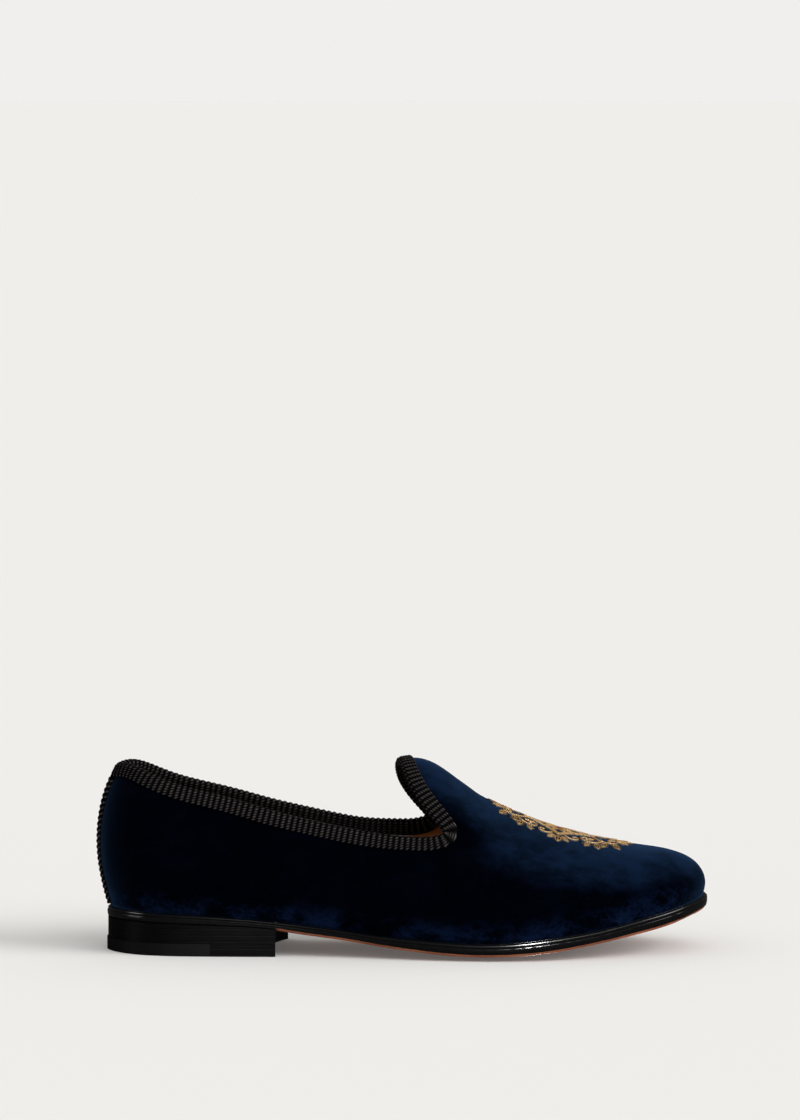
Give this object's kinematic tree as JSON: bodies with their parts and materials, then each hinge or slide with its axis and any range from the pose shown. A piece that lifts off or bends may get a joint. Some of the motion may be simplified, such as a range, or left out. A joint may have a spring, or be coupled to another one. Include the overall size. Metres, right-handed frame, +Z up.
{
  "type": "velvet slipper loafer",
  "caption": "Velvet slipper loafer, right shoe: hollow whole-cut upper, ribbed topline binding, slim leather sole with toe spring and a low stacked heel.",
  "frame": {"origin": "on the floor, under the middle of the shoe's length and width", "axes": "+X from heel to toe, +Y to the inner side of the foot, +Z up from the floor"},
  "size_m": [0.295, 0.1032, 0.0939],
  "materials": {
    "velvet": "midnight blue cotton velvet, short dense pile",
    "ribbon": "ribbed black grosgrain with a twisted rib",
    "black_edge": "black edge ink, waxed and burnished to a gloss",
    "sole_leather": "red-brown sole leather, smooth, with a black polished edge",
    "heel_leather": "stacked leather lifts, stained black, satin",
    "heel_rubber": "black rubber, matt",
    "lining_leather": "tan lining leather, fine grain"
  },
  "bodies": {
    "root": {"upper": "velvet", "topline_binding": "ribbon", "back_strip": "ribbon", "insole": "lining_leather", "rand": "black_edge", "outsole": "sole_leather", "heel_stack": "heel_leather", "heel_top_piece_rubber": "heel_rubber", "heel_top_piece_leather": "heel_leather"}
  },
  "joints": []
}
